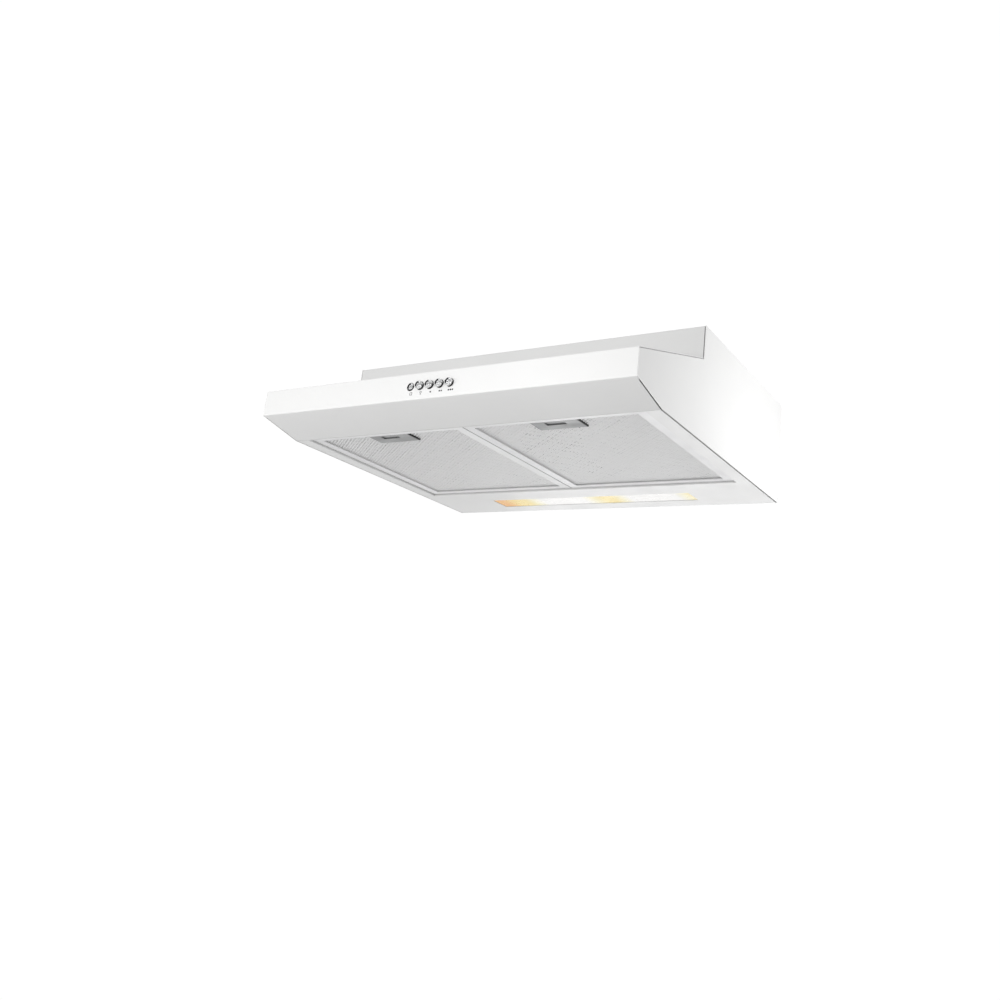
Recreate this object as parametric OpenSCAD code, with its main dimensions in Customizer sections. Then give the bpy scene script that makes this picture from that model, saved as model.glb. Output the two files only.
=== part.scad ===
// Under cabinet range hood: a folded steel canopy with a sloping visor, two
// drop-down grease filters, a push-button switch bank, a lit lamp tray and a
// centrifugal blower that discharges through a collar in the roof.
//
// Shapes are drawn in hood coordinates, with x = 0 on the centre plane, y = 0
// on the front face growing towards the wall, and z = 0 on the underside.
// in_frame() then moves each node so that the origin is the centre of the four
// cabinet screws on the roof. The front faces -Y and +Z is up.

/* [Canopy] */
// Width over the side panels
hood_w = 598; // [580:1:640]
// Depth from the front face to the wall
hood_d = 510; // [500:1:540]
// Height from the underside to the roof
hood_h = 160; // [158:1:175]
// Thickness of the steel sheet
sheet = 1; // [0.8:0.1:1.2]
// Height of the upright front face
face_h = 37; // [34:1:40]
// Depth of the sloping chin under the front face
chin_d = 72; // [66:1:73]
// Height of the chin
chin_h = 15.5; // [14:0.5:17]
// Depth of the visor in front of the raised box
visor_d = 188; // [180:1:194]
// Height of the raised box's front wall
box_h = 47; // [44:1:50]
// Outer radius of the folds
fold_r = 3; // [2:0.5:4]

/* [Mounting] */
// Distance from the wall to the middle of the cabinet screws
screw_back = 161; // [150:1:170]
// Spacing of the cabinet screws across the hood
cabinet_x = 510; // [480:1:520]
// Spacing of the cabinet screws from front to back
cabinet_y = 240; // [220:1:250]
// Radius of each cabinet screw hole
cabinet_r = 3; // [2.5:0.25:3.5]
// Spacing of the two wall screws
wall_x = 440; // [400:1:460]
// Radius of each wall screw hole
wall_r = 4; // [3:0.5:4.5]

/* [Duct collar] */
// Outer radius of the collar
collar_r = 59.5; // [58:0.5:60]
// Height of the collar above the roof
collar_h = 35; // [30:1:45]

/* [Filters] */
// Width of one grease filter
filter_w = 272; // [266:1:273]
// Depth of one grease filter
filter_d = 313; // [308:1:313]
// Thickness of one grease filter
filter_t = 9; // [8:0.5:9]
// Visible width of the filter's frame at its front and rear
rim_w = 10.5; // [9:0.5:12]
// Visible width of the filter's frame at its sides
side_rim = 13.5; // [10:0.5:15]

/* [Buttons] */
// Radius of a button
button_r = 5.25; // [4.5:0.25:5.5]
// Spacing of the buttons
button_gap = 16; // [15:0.5:17]
// How far a released button stands proud
button_out = 5.2; // [5:0.1:6]
// Travel of a button
button_travel = 4.5; // [4:0.5:5]

/* [Lamps] */
// Width of the lamp cover
lens_w = 360; // [350:1:368]
// Depth of the lamp cover
lens_d = 41; // [40:1:42]

/* [Hidden] */
$fn = 48;

// Canopy
inner_w = hood_w - 2 * sheet;
face_bottom = chin_h;
face_top = chin_h + face_h;
box_bottom = hood_h - box_h;
roof_under = hood_h - sheet;
screw_y = hood_d - screw_back;
flange_h = 8;
seam_gap = 0.4;
side_gap = 2;
visor_lip = 1.8;
roof_gap = 0.8;
roof_flange = 12;
panel_flange = 14;
chin_end = sheet * chin_h / norm([chin_d, chin_h]);
visor_gap = 1.5;
roof_rear = hood_d - sheet - seam_gap / 4;
rear_lip = 9;
wall_z = 100;
visor_tail = 9;
tail_y = visor_d + sheet + 1.5;
tail_z = face_top + (box_bottom - face_top) * tail_y / visor_d;

// Filter opening and filters
open_x = 275.5;
open_front = 75;
open_rear = 391;
filter_x = filter_w / 2 + 1;
filter_front = open_rear - 1 - filter_d;
filter_z = 2.5;
face_z = filter_z + 2;
face_t = 1;
back_t = 0.8;
core_gap = 0.2;
lip_t = 0.8;
core_z = face_z + face_t + core_gap;
back_z = filter_z + filter_t - lip_t - back_t - core_gap;
core_t = back_z - core_gap - core_z;
corner_r = 4;
tab_x = 85;
tab_z = filter_z + 0.6;
tab_w = 18;
tab_l = 6;
tab_t = 1.2;

// Latch
plate_w = 69;
plate_x = 1.5;
plate_d = 29.5;
plate_t = 7.6;
plate_y = filter_front + rim_w;
pocket_w = 30;
pocket_d = 10.5;
pocket_y = plate_y + 4;
slider_w = 40;
slider_d = 15;
slider_z = filter_z + 2;
slider_t = 1.6;
tongue_w = 16;
tongue_tip = open_front + 0.3;
latch_travel = 6;
spring_r = 1.5;
spring_wire = 0.4;
spring_turns = 5;

// Duct and blower
axis_y = 350;
axis_z = 82;
scroll_start = 56;
scroll_end = 70;
scroll_wall = 2;
scroll_x = 46;
scroll_top = roof_under - 3;
tongue_y = 16;
tongue_a = 90 + asin(tongue_y / scroll_start);
duct_y = axis_y + (scroll_end - tongue_y) / 2;
inlet_r = 43;
wheel_r = 50;
wheel_inner_r = 41;
wheel_x = 38;
blades = 28;
shaft_r = 4;
motor_r = 40;
motor_x = 52;
motor_l = 44;
bush_r = 4;
bush_ring = 41;
hole_r = collar_r - 1;
collar_wall = 2.5;
flap_z = hood_h + 8;
flap_r = 55.6;
pin_r = 1.5;
knuckle_r = 2.75;
knuckle_l = 10;
knuckle_clear = 0.05;

// Switches
switch_w = 5 * button_gap + 12;
switch_y = 14;
switch_d = 38;
switch_h = 20;
button_z = face_bottom + face_h / 2;
stem_r = 2.5;
stem_l = 22;
button_clear = 0.6;

// Lamps
lens_front = 436;
lens_z = 0.5;
lens_t = 2;
lens_rim = 7;
lamp_y = lens_front + lens_d / 2;
lamp_z = 25;
tray_w = lens_w + 8;
tray_d = lens_d + 7;
tray_top = 46;
peg_r = 1.2;
hinge_y = lens_front + lens_d - 1.3;
hinge_z = lens_z + 2.5;
holder_x = 151;
bulb_l = 98;
bulb_r = 17;

// Electrics
box_x = 200;
box_y = 440;
box_w = 70;
box_l = 52;
box_top = roof_under;
box_t = 40;
grommet_y = box_y + 38;
grommet_bore = 4;
can_x = 150;
can_y = 300;
can_l = 62;
can_r = 15;
can_z = roof_under - 22;

// Cable routes: points along the middle of each cable
cable_r = 3;
switch_route = [[38, 52, 38], [38, 60, 38], [48, 70, 42], [80, 92, 62], [130, 130, 80], [180, 165, 92],
    [225, 200, 108], [250, 240, 128], [262, 290, 140], [262, 340, 143], [254, 385, 143],
    [236, 412, 140], [224, 426, 136], [222, 434, 135], [222, 440, 135]];
motor_route = [[97, 350, 107], [104, 350, 107], [116, 353, 110], [130, 362, 116],
    [146, 380, 123], [160, 402, 130], [172, 422, 135], [178, 433, 136], [178, 440, 136]];
lamp_route = [[184, 456.5, 32], [191, 456.5, 32], [205, 457, 38], [213, 459, 52],
    [214, 461, 78], [208, 462, 98], [206, 462, 112], [206, 462, 119]];

// Fasteners
screw_r = 1.8;
rivet_r = 1.6;
rivet_z = 8;
rivet_places = [110 : 125 : 485];

// ---------------------------------------------------------------- helpers

module in_frame() {
    translate([0, -screw_y, -hood_h]) children();
}

// Draws a (y, z) outline as a bar of width w, centred on x = 0
module along_x(w) {
    rotate([90, 0, 90]) translate([0, 0, -w / 2]) linear_extrude(w) children();
}

// A cylinder along x whose lower end is at x
module rod_x(r, x, l, y, z) {
    translate([x, y, z]) rotate([0, 90, 0]) cylinder(r = r, h = l);
}

// A cylinder along y whose front end is at y
module rod_y(r, x, y, z, l) {
    translate([x, y, z]) rotate([-90, 0, 0]) cylinder(r = r, h = l);
}

module block(x0, x1, y0, y1, z0, z1) {
    translate([x0, y0, z0]) cube([x1 - x0, y1 - y0, z1 - z0]);
}

function unit(v) = v / norm(v);
function left_of(v) = [-v[1], v[0]];
function turn(u, v) = atan2(u[0] * v[1] - u[1] * v[0], u * v);
function spun(v, a) = [v[0] * cos(a) - v[1] * sin(a), v[0] * sin(a) + v[1] * cos(a)];

// The arc that replaces corner p of a path between a and b
function fillet(a, p, b, r, steps = 5) =
    let (
        u = unit(p - a),
        v = unit(b - p),
        sweep = turn(u, v),
        start = p - u * r * tan(abs(sweep) / 2),
        arm = left_of(u) * r * sign(sweep)
    )
    [for (i = [0 : steps]) start + arm - spun(arm, sweep * i / steps)];

// A path whose inner corners are rounded
function rounded(path, r) = concat(
    [path[0]],
    [for (i = [1 : len(path) - 2]) each fillet(path[i - 1], path[i], path[i + 1], r)],
    [path[len(path) - 1]]
);

// The normal to the left of a path at point i, long enough to keep the wall even
function path_normal(path, i) =
    let (
        last = len(path) - 1,
        before = unit(path[max(i, 1)] - path[max(i, 1) - 1]),
        after = unit(path[min(i, last - 1) + 1] - path[min(i, last - 1)]),
        mid = unit(left_of(before) + left_of(after))
    )
    mid / (mid * left_of(before));

// A sheet of thickness t on the left of a path
function folded(path, t) = concat(
    path,
    [for (i = [len(path) - 1 : -1 : 0]) path[i] + path_normal(path, i) * t]
);

module rounded_rect(x0, x1, y0, y1, r) {
    translate([x0 + r, y0 + r]) square([x1 - x0 - 2 * r, y1 - y0 - 2 * r]);
    for (x = [x0 + r, x1 - r], y = [y0 + r, y1 - r]) translate([x, y]) circle(r);
    translate([x0, y0 + r]) square([x1 - x0, y1 - y0 - 2 * r]);
    translate([x0 + r, y0]) square([x1 - x0 - 2 * r, y1 - y0]);
}

// A tube that follows route, a list of points
module cable(route, r, sides = 8) {
    last = len(route) - 1;
    rings = [for (i = [0 : last])
        let (
            along = unit(route[min(i + 1, last)] - route[max(i - 1, 0)]),
            helper = abs(along[2]) > 0.9 ? [0, 1, 0] : [0, 0, 1],
            across = unit(cross(helper, along)),
            up = cross(along, across)
        )
        each [for (k = [0 : sides - 1])
            route[i] + r * (across * cos(360 * k / sides) + up * sin(360 * k / sides))]
    ];
    walls = [for (i = [0 : last - 1], k = [0 : sides - 1])
        let (n = (k + 1) % sides)
        each [
            [i * sides + k, (i + 1) * sides + k, i * sides + n],
            [i * sides + n, (i + 1) * sides + k, (i + 1) * sides + n]
        ]];
    ends = concat([[for (k = [0 : sides - 1]) k]],
        [[for (k = [sides - 1 : -1 : 0]) last * sides + k]]);
    polyhedron(points = rings, faces = concat(walls, ends));
}

// A pan-head screw that points up, its head's seat at z = 0
module screw_up(r, shank_r, l) {
    difference() {
        rotate_extrude() polygon([[0, -2], [r * 0.55, -2], [r * 0.9, -1.3], [r, 0], [0, 0]]);
        for (a = [0, 90]) rotate([0, 0, a]) translate([-r * 0.5, -0.4, -2.1]) cube([r, 0.8, 1.2]);
    }
    cylinder(r = shank_r, h = l);
}

// ----------------------------------------------------------------- canopy

// One side of the canopy, with a flange at the top that the roof rests on
module side_panel(side) {
    x0 = side < 0 ? -hood_w / 2 : hood_w / 2 - sheet;
    lip = side < 0 ? x0 : x0 + sheet - roof_flange;
    rotate([90, 0, 90]) translate([0, 0, x0]) linear_extrude(sheet)
        polygon([[0, face_bottom], [0, face_top - visor_lip], [visor_d, box_bottom - visor_lip],
            [visor_d, hood_h], [hood_d, hood_h], [hood_d, 0], [chin_d, 0]]);
    block(lip, lip + roof_flange, visor_d + 4, hood_d - 6, roof_under - sheet, roof_under);
}

module side_panel_left() {
    color("white") side_panel(-1);
}

module side_panel_right() {
    color("white") side_panel(1);
}

module cabinet_holes(r, z, h) {
    for (x = [-1, 1], y = [-1, 1])
        translate([x * cabinet_x / 2, screw_y + y * cabinet_y / 2, z]) cylinder(r = r, h = h);
}

// The raised box's front wall and the roof, folded from one sheet
module top_cover() {
    path = rounded([[visor_d, box_bottom + seam_gap], [visor_d, hood_h],
        [roof_rear, hood_h], [roof_rear, hood_h - rear_lip]], fold_r);
    color("white") difference() {
        along_x(inner_w - 2 * roof_gap) polygon(folded(path, -sheet));
        translate([0, duct_y, roof_under - 1]) cylinder(r = hole_r, h = sheet + 2);
        translate([box_x, grommet_y, roof_under - 1]) cylinder(r = grommet_bore + 4, h = sheet + 2);
        cabinet_holes(cabinet_r, roof_under - 1, sheet + 2);
        collar_screw_places() translate([0, 0, -sheet - 1]) cylinder(r = screw_r, h = sheet + 2);
    }
}

// The wall side of the canopy
module back_panel() {
    color("white") difference() {
        block(-inner_w / 2, inner_w / 2, hood_d - sheet, hood_d, 0, hood_h);
        for (x = [-1, 1]) rod_y(wall_r, x * wall_x / 2, hood_d - sheet - 1, wall_z, sheet + 2);
    }
}

// Chin, front face and sloping visor top, folded from one sheet
module front_visor() {
    path = rounded([[chin_d, 0], [0, face_bottom], [0, face_top],
        [tail_y, tail_z], [tail_y, tail_z + visor_tail]], fold_r * 0.6);
    color("white") difference() {
        along_x(inner_w) polygon(folded(path, -sheet));
        for (s = [-1, 1]) translate([s * inner_w / 2, chin_d / 2 + 2, 0])
            cube([2 * visor_gap, chin_d, 2 * face_bottom - 2], center = true);
        for (i = [1 : 5]) rod_y(button_r + button_clear, button_x(i), -1, button_z, 3 * sheet);
    }
}

// The underside, with turned-up edges and the filter and lamp openings
module bottom_panel() {
    front = chin_d + chin_end + seam_gap;
    rear = hood_d - sheet;
    side = inner_w / 2 - side_gap;
    lens_x = lens_w / 2 + 1;
    lens_y0 = lens_front - 1;
    lens_y1 = lens_front + lens_d + 1;
    color("white") difference() {
        union() {
            block(-side, side, front, rear, 0, sheet);
            for (x = [-side, side - sheet]) block(x, x + sheet, chin_d + 8, rear, 0, panel_flange);
            block(-side, side, rear - sheet, rear, 0, panel_flange);
            block(-open_x - sheet, open_x + sheet, open_front - sheet, open_rear + sheet,
                0, flange_h);
        }
        block(-open_x, open_x, open_front, open_rear, -1, 20);
        for (s = [-1, 1], y = rivet_places) rod_x(rivet_r, s * side - 2, 4, y, rivet_z);
        block(-lens_x, lens_x, lens_y0, lens_y1, -1, 20);
        for (side = [-1, 1], t = [-1, 1])
            translate([side * filter_x + t * tab_x, open_rear, tab_z + 3.1])
                cube([tab_w + 3, 4, 6.6], center = true);
    }
}

// ------------------------------------------------------------ duct collar

// Screws that hold the collar, the roof and the blower's flange together
module collar_screw_places() {
    for (a = [45 : 90 : 315])
        translate([0, duct_y, hood_h]) rotate([0, 0, a]) translate([collar_r + 7, 0, 0]) children();
}

module duct_collar() {
    color("dimgray") translate([0, duct_y, hood_h]) difference() {
        union() {
            cylinder(r = collar_r + 12, h = 2);
            cylinder(r = collar_r, h = collar_h);
            translate([0, 0, -sheet]) cylinder(r = hole_r - 0.5, h = 2 * sheet);
        }
        difference() {
            translate([0, 0, -2 * sheet]) cylinder(r = collar_r - collar_wall, h = collar_h + 6);
            difference() {
                translate([0, 0, 4]) cylinder(r = collar_r - 1, h = 3.2);
                translate([0, 0, 3]) cylinder(r = flap_r - 3.6, h = 6);
            }
        }
        translate([0, 0, flap_z - hood_h]) rotate([0, 90, 0])
            cylinder(r = pin_r, h = 2 * (collar_r - 1), center = true);
        translate([0, -duct_y, -hood_h]) collar_screw_places() translate([0, 0, -1])
            cylinder(r = screw_r, h = 4);
    }
}

module flap_pin() {
    color("silver") rod_x(pin_r, 1 - collar_r, 2 * collar_r - 2, duct_y, flap_z);
}

// A half disc that swings up on the pin: side -1 is the front flap
module flap(side) {
    first = side < 0 ? 0 : 1;
    centres = [for (i = [first : 2 : 7]) (i - 3.5) * (knuckle_l + 1)];
    translate([0, duct_y, flap_z]) difference() {
        union() {
            intersection() {
                translate([0, 0, -0.5]) cylinder(r = flap_r, h = 1);
                translate([-flap_r, side < 0 ? -flap_r : 3.5, -1]) cube([2 * flap_r, flap_r - 3.5, 2]);
            }
            for (x = centres) translate([x - knuckle_l / 2, 0, 0]) {
                rotate([0, 90, 0]) cylinder(r = knuckle_r, h = knuckle_l);
                translate([0, side < 0 ? -4.5 : 0, -0.5]) cube([knuckle_l, 4.5, 1]);
            }
        }
        rotate([0, 90, 0]) cylinder(r = pin_r + knuckle_clear, h = 2 * flap_r, center = true);
    }
}

module flap_front() {
    color("gray") flap(-1);
}

module flap_rear() {
    color("gray") flap(1);
}

// ----------------------------------------------------------------- blower

function scroll_r(a) = scroll_start
    + (scroll_end - scroll_start) * (a - tongue_a) / (360 - tongue_a);

// The blower housing's outline, drawn inwards by inset
module scroll_outline(inset, top) {
    steps = 40;
    spiral = [for (i = [0 : steps])
        let (a = tongue_a + (360 - tongue_a) * i / steps, r = scroll_r(a) - inset)
        [axis_y + r * cos(a), axis_z + r * sin(a)]];
    polygon(concat(spiral, [[axis_y + scroll_end - inset, top],
        [axis_y - tongue_y + inset, top]]));
}

module scroll_body(side) {
    x0 = side < 0 ? -scroll_x : 0;
    eye = side < 0 ? inlet_r : 10;
    flange = hole_r + 4;
    difference() {
        union() {
            rotate([90, 0, 90]) translate([0, 0, x0]) linear_extrude(scroll_x)
                scroll_outline(0, scroll_top);
            block(side < 0 ? -flange : 0, side < 0 ? 0 : flange, duct_y - flange, duct_y + flange,
                scroll_top, roof_under);
        }
        rotate([90, 0, 90]) translate([0, 0, x0 + (side < 0 ? scroll_wall : -1)])
            linear_extrude(scroll_x - scroll_wall + 1) scroll_outline(scroll_wall, hood_h);
        rod_x(eye, -scroll_x - 2, 2 * scroll_x + 4, axis_y, axis_z);
        collar_screw_places() translate([0, 0, -6]) cylinder(r = screw_r, h = 6);
        if (side > 0) bush_places() translate([scroll_x - 4, 0, 0]) rotate([0, 90, 0])
            cylinder(r = screw_r, h = 8);
    }
}

module scroll_left() {
    color("dimgray") scroll_body(-1);
}

module scroll_right() {
    color("dimgray") scroll_body(1);
}

// Rolled mouth that leads air into the wheel
module inlet_ring() {
    color("dimgray") translate([-scroll_x, axis_y, axis_z]) rotate([0, -90, 0])
        rotate_extrude() polygon([[inlet_r - 2.5, -3], [inlet_r - 0.3, -3], [inlet_r - 0.3, 0],
            [inlet_r + 8, 0], [inlet_r + 8, 1.5], [inlet_r + 6, 3], [inlet_r + 3, 4],
            [inlet_r, 3.4], [inlet_r - 1.8, 2]]);
}

// A forward-curved blade's outline, in a plane across the wheel's axis
function blade_points(t, steps = 4) =
    let (
        lean = 26,
        edge = function (f, o) [wheel_inner_r + (wheel_r - wheel_inner_r) * f + o * cos(60 * f),
            lean * f * f * 0.16 + o * sin(60 * f)]
    )
    concat([for (i = [0 : steps]) edge(i / steps, 0)],
        [for (i = [steps : -1 : 0]) edge(i / steps, 0) + [0, t]]);

module impeller() {
    plate_t = 2;
    hub_x = 16;
    rim = 1;
    color("lightgray") translate([0, axis_y, axis_z]) rotate([90, 0, 90]) difference() {
        union() {
            translate([0, 0, wheel_x - plate_t]) cylinder(r = wheel_r + rim, h = plate_t);
            translate([0, 0, wheel_x - hub_x]) cylinder(r = 12, h = hub_x);
            translate([0, 0, -wheel_x]) difference() {
                cylinder(r = wheel_r + rim, h = 3);
                translate([0, 0, -1]) cylinder(r = wheel_inner_r + 2.5, h = 5);
            }
            for (i = [0 : blades - 1]) rotate([0, 0, 360 * i / blades])
                translate([0, 0, 1.5 - wheel_x]) linear_extrude(2 * wheel_x - plate_t - 0.5)
                    polygon(blade_points(0.9));
        }
        translate([0, 0, wheel_x - hub_x - 1]) cylinder(r = shaft_r, h = hub_x + 2);
    }
}

module motor_shaft() {
    color("silver") rod_x(shaft_r, wheel_x - 20, motor_x + motor_l - 14 - wheel_x + 20,
        axis_y, axis_z);
}

module motor_housing() {
    color("silver") difference() {
        union() {
            rod_x(motor_r, motor_x + 4, motor_l - 10, axis_y, axis_z);
            rod_x(motor_r - 6, motor_x, 5, axis_y, axis_z);
        }
        rod_x(shaft_r + 0.05, motor_x - 1, motor_l - 12, axis_y, axis_z);
        for (a = [0 : 30 : 330]) translate([0, axis_y, axis_z]) rotate([a, 0, 0])
            translate([motor_x + 12, motor_r - 1.5, -4]) cube([18, 4, 8]);
    }
}

module motor_end_cap() {
    x0 = motor_x + motor_l - 6;
    color("gray") difference() {
        union() {
            rod_x(motor_r, x0, 4, axis_y, axis_z);
            rod_x(motor_r - 8, x0, 7, axis_y, axis_z);
            rod_x(11, x0, 10, axis_y, axis_z);
            block(x0 + 1, x0 + 7, axis_y - 8, axis_y + 8, axis_z + 18, axis_z + 32);
        }
        for (a = [30 : 60 : 330]) translate([0, axis_y, axis_z]) rotate([a, 0, 0])
            translate([x0 + 4, 15, -4]) cube([8, 13, 8]);
    }
}

module bush_places() {
    for (a = [90 : 120 : 330]) translate([0, axis_y, axis_z]) rotate([a, 0, 0])
        translate([0, 0, bush_ring]) children();
}

// Three-armed plate that carries the motor on rubber bushes
module motor_bracket() {
    x0 = motor_x - 2;
    color("silver") difference() {
        union() {
            rod_x(26, x0, 2, axis_y, axis_z);
            bush_places() translate([x0, 0, 0]) rotate([0, 90, 0]) cylinder(r = 7, h = 2);
            for (a = [90 : 120 : 330]) translate([0, axis_y, axis_z]) rotate([a, 0, 0])
                translate([x0, -7, 0]) cube([2, 14, bush_ring]);
        }
        rod_x(9, x0 - 1, 4, axis_y, axis_z);
        bush_places() translate([x0 - 1, 0, 0]) rotate([0, 90, 0]) cylinder(r = screw_r, h = 4);
    }
}

module motor_bushes() {
    l = motor_x - 2 - scroll_x;
    color("black") bush_places() translate([scroll_x, 0, 0]) rotate([0, 90, 0]) difference() {
        cylinder(r = bush_r, h = l);
        translate([0, 0, -1]) cylinder(r = screw_r, h = l + 2);
    }
}

module capacitor() {
    color("lightgray") {
        difference() {
            rod_y(can_r, can_x, can_y, can_z, can_l);
            rod_y(can_r - 1.5, can_x, can_y - 1, can_z, 2.5);
        }
        for (s = [-1, 1]) block(can_x + s * 5 - 0.5, can_x + s * 5 + 0.5, can_y - 5, can_y + 3,
            can_z - 3, can_z + 3);
    }
}

module capacitor_clip() {
    y0 = can_y + 22;
    color("silver") difference() {
        union() {
            rod_y(can_r + 1.5, can_x, y0, can_z, 14);
            block(can_x - can_r - 10, can_x + can_r + 10, y0, y0 + 14, roof_under - 1.5, roof_under);
            for (s = [-1, 1]) block(can_x + s * (can_r + 0.75) - 0.75,
                can_x + s * (can_r + 0.75) + 0.75, y0, y0 + 14, can_z, roof_under);
        }
        rod_y(can_r, can_x, y0 - 1, can_z, 16);
        block(can_x - can_r, can_x + can_r, y0 - 1, y0 + 15, can_z, roof_under - 1.5);
    }
}

// -------------------------------------------------------------- electrics

module terminal_box() {
    x0 = box_x - box_w / 2;
    z0 = box_top - box_t;
    color("whitesmoke") difference() {
        block(x0, x0 + box_w, box_y, box_y + box_l, z0 + 2, box_top);
        block(x0 + 2, x0 + box_w - 2, box_y + 2, box_y + box_l - 2, z0, box_top - 2);
        translate([box_x, grommet_y, box_top - 3]) cylinder(r = grommet_bore + 4, h = 4);
    }
}

// Three pairs of screw terminals in a moulded strip
module terminal_block() {
    pitch = 12;
    color("ivory") difference() {
        union() {
            block(box_x - 20, box_x + 20, box_y + 7, box_y + 23, box_top - 16, box_top - 2);
            for (i = [-1 : 1]) block(box_x + i * pitch - 5, box_x + i * pitch + 5, box_y + 9,
                box_y + 21, box_top - 19, box_top - 15);
        }
        for (i = [-1 : 1], y = [box_y + 12, box_y + 18]) translate([box_x + i * pitch, y, box_top - 20])
            cylinder(r = 2, h = 6);
    }
}

module terminal_lid() {
    x0 = box_x - box_w / 2;
    z0 = box_top - box_t;
    color("whitesmoke") difference() {
        union() {
            block(x0 - 1, x0 + box_w + 1, box_y - 1, box_y + box_l + 1, z0, z0 + 2);
            for (x = [x0 + 12, x0 + box_w - 12]) translate([x, box_y + 8, z0 - 1.5])
                cylinder(r = 4, h = 2);
        }
        for (x = [x0 + 12, x0 + box_w - 12]) translate([x - 3, box_y + 7.5, z0 - 2])
            cube([6, 1, 1.5]);
    }
}

module cable_grommet() {
    under = box_top - 2;
    color("black") translate([box_x, grommet_y, 0]) difference() {
        union() {
            translate([0, 0, under - 3]) cylinder(r = grommet_bore + 7, h = 3);
            translate([0, 0, under - 3]) cylinder(r = grommet_bore + 4, h = 5 + sheet);
            translate([0, 0, hood_h]) cylinder(r = grommet_bore + 6, h = 2);
        }
        translate([0, 0, under - 4]) cylinder(r = grommet_bore, h = 10);
    }
}

function button_x(i) = (i - 3) * button_gap;

module switch_body() {
    z0 = button_z - switch_h / 2;
    pad = 5;
    color("whitesmoke") difference() {
        union() {
            block(-switch_w / 2, switch_w / 2, switch_y, switch_y + switch_d, z0, z0 + switch_h);
            for (i = [1 : 5]) block(button_x(i) - 2, button_x(i) + 2, switch_y + switch_d,
                switch_y + switch_d + 7, z0 + pad, z0 + pad + 0.8);
        }
        for (i = [1 : 5]) rod_y(stem_r + 0.1, button_x(i), switch_y - 1, button_z,
            stem_l + button_travel);
        for (x = [-switch_w / 2, switch_w / 2 - 4])
            block(x - 1, x + 5, switch_y + 8, switch_y + switch_d - 8, z0 + 15, z0 + switch_h + 1);
    }
}

// Folded bracket that holds the switch body behind the front face
module switch_bracket() {
    half = switch_w / 2 + 12;
    z0 = button_z - switch_h / 2;
    color("silver") difference() {
        union() {
            block(-half, half, switch_y - 1.5, switch_y, z0 - 2, z0 + switch_h + 2);
            for (s = [-1, 1]) {
                block(s * half - (s > 0 ? 1.5 : 0), s * half + (s > 0 ? 0 : 1.5), sheet, switch_y,
                    z0 + 2, z0 + switch_h - 2);
                block(s > 0 ? half - 1.5 : -half - 7, s > 0 ? half + 7 : -half + 1.5, sheet,
                    sheet + 1.5, z0 + 2, z0 + switch_h - 2);
            }
        }
        for (i = [1 : 5]) rod_y(stem_r + 0.5, button_x(i), switch_y - 3, button_z, 6);
    }
}

// A push button with a dished face: i counts from the left, and the first is held in
module button(i) {
    y0 = i == 1 ? button_travel - button_out : -button_out;
    cap_l = button_out + sheet + 1;
    bevel = 0.4;
    dish = 0.8;
    color("silver") translate([button_x(i), y0, button_z]) rotate([-90, 0, 0]) difference() {
        union() {
            rotate_extrude() polygon([[0, dish], [button_r - 1.5, dish], [button_r - 1.1, 0],
                [button_r - bevel, 0], [button_r, bevel], [button_r, cap_l], [0, cap_l]]);
            cylinder(r = stem_r, h = cap_l + stem_l);
        }
        translate([0, 0, -1]) cylinder(r = 1.1, h = 1.5 + dish);
    }
}

module button_1() { button(1); }
module button_2() { button(2); }
module button_3() { button(3); }
module button_4() { button(4); }
module button_5() { button(5); }

// ------------------------------------------------------------------ lamps

module lamp_tray() {
    t = 0.8;
    half = tray_w / 2;
    y0 = lamp_y - tray_d / 2;
    y1 = lamp_y + tray_d / 2;
    color("silver") difference() {
        union() {
            block(-half, half, y0, y1, sheet, tray_top);
            block(-half - 6, half + 6, y0 - 2, y1 + 2, sheet, sheet + t);
        }
        block(-half + t, half - t, y0 + t, y1 - t, 0, tray_top - t);
        rod_x(peg_r + knuckle_clear, -half - 1, tray_w + 2, hinge_y, hinge_z);
    }
}

module lamp_holder(side) {
    l = tray_w / 2 - 0.8 - holder_x;
    x0 = side < 0 ? -holder_x - l : holder_x;
    color("ivory") difference() {
        union() {
            rod_x(13, x0, l, lamp_y, lamp_z);
            block(x0, x0 + l, lamp_y - 9, lamp_y + 9, lamp_z, tray_top - 0.8);
        }
        rod_x(8, side < 0 ? -holder_x - 22 : holder_x - 1, 23, lamp_y, lamp_z);
    }
}

module lamp_holder_left() {
    lamp_holder(-1);
}

module lamp_holder_right() {
    lamp_holder(1);
}

// A candle lamp lying along x with its screw cap in the holder
module lamp_bulb(side) {
    cap_l = 20;
    cap_r = 7.8;
    neck = 16;
    glass = [for (i = [0 : 12]) let (f = i / 12)
        [cap_r - 1 + (bulb_r - cap_r + 1) * sin(f * 150) / sin(90) * (1 - 0.35 * f * f),
            cap_l + neck + (bulb_l - cap_l - neck) * f]];
    color("lightyellow") translate([side * (holder_x + cap_l + 1), lamp_y, lamp_z])
        rotate([0, side < 0 ? 90 : -90, 0]) rotate_extrude() polygon(concat(
            [[0, 0], [4, 0], [cap_r, 3], [cap_r, cap_l], [cap_r - 1, cap_l]],
            [for (p = glass) p[0] > 0.5 ? p : [0.5, p[1]]],
            [[0, bulb_l]]));
}

module lamp_bulb_left() {
    lamp_bulb(-1);
}

module lamp_bulb_right() {
    lamp_bulb(1);
}

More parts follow.
